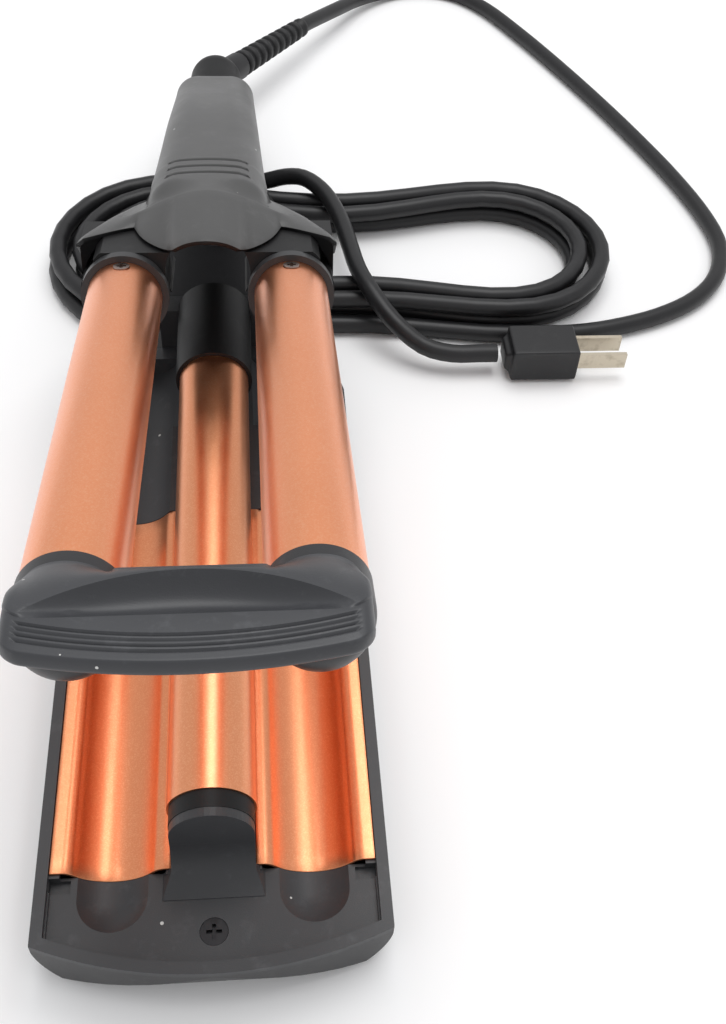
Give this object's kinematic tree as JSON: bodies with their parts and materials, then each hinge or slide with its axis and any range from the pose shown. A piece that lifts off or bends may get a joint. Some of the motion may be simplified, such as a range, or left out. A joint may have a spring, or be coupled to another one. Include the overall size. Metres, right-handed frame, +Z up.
{
  "type": "hair waver",
  "caption": "Hinged deep waver with a barrel above a tray, a pair of barrels on the upper arm, copper-coloured heating surfaces and a coiled mains cord with plug.",
  "frame": {"origin": "middle of the flat underside of the tray, on the table", "axes": "+X to the right with the tips facing the viewer, +Y from the tips towards the cord, +Z up"},
  "size_m": [0.2633, 0.4975, 0.1204],
  "materials": {
    "casing": "satin dark grey moulding",
    "inner_face": "fine matte black",
    "black_plastic": "smooth black moulding",
    "copper_coat": "satin copper-coloured coating",
    "barrel_core": "extruded",
    "heater_strip": null,
    "steel_parts": "plated",
    "board": "lacquered board",
    "button_cap": "satin",
    "lens": "clear",
    "wire_cover": "red silicone",
    "cord_rubber": "satin black",
    "plug_metal": "plated"
  },
  "bodies": {
    "lower_arm": {"lower_shell": "casing", "tray_frame": "casing", "handle_cover": "inner_face", "trough_plate_left": "copper_coat", "trough_plate_right": "copper_coat", "trough_heater_left": "heater_strip", "trough_heater_right": "heater_strip", "centre_barrel": "copper_coat", "centre_core": "barrel_core", "centre_heater": "heater_strip", "centre_end_plug": "black_plastic", "centre_collar": "black_plastic", "tray_screw": "steel_parts", "handle_screws": "steel_parts", "circuit_board": "board", "indicator_lens": "lens", "thermal_fuse": "steel_parts", "heater_wires": "wire_cover", "hinge_pin": "steel_parts", "hinge_spring": "steel_parts", "rear_cap": "black_plastic", "cord_clamp": "black_plastic", "cord_guard": "cord_rubber", "cord_lead": "cord_rubber", "cord_hank": "cord_rubber", "cord_tail": "cord_rubber", "plug_body": "cord_rubber", "plug_pins": "plug_metal"},
    "upper_arm": {"upper_barrel_left": "copper_coat", "upper_barrel_right": "copper_coat", "upper_core_left": "barrel_core", "upper_core_right": "barrel_core", "upper_heater_left": "heater_strip", "upper_heater_right": "heater_strip", "barrel_collar_left": "casing", "barrel_collar_right": "casing", "barrel_screws": "steel_parts", "hub_frame": "black_plastic", "hub_cover": "casing", "upper_handle_shell": "casing", "upper_inner_cover": "inner_face", "upper_screws": "steel_parts", "tip_bridge": "casing", "tip_cap_left": "black_plastic", "tip_cap_right": "black_plastic", "tip_screws": "steel_parts", "upper_wires": "wire_cover"},
    "power_button": {"power_button": "button_cap"},
    "plus_button": {"plus_button": "button_cap"},
    "minus_button": {"minus_button": "button_cap"}
  },
  "joints": [
    {"name": "jaw_hinge", "type": "hinge", "parent": "lower_arm", "child": "upper_arm", "pos_m": [0, 0.247, 0.032], "axis": [1, 0, 0], "range_deg": [0, 15], "stiffness_Nm_per_rad": 2.3, "springref_deg": -25.04},
    {"name": "power_press", "type": "slide", "parent": "lower_arm", "child": "power_button", "axis": [0, 0, -1], "range_m": [0, 0.0008], "stiffness_N_per_m": 500, "springref_m": -0.0012},
    {"name": "plus_press", "type": "slide", "parent": "lower_arm", "child": "plus_button", "axis": [0, 0, -1], "range_m": [0, 0.0008], "stiffness_N_per_m": 500, "springref_m": -0.0012},
    {"name": "minus_press", "type": "slide", "parent": "lower_arm", "child": "minus_button", "axis": [0, 0, -1], "range_m": [0, 0.0008], "stiffness_N_per_m": 500, "springref_m": -0.0012}
  ]
}
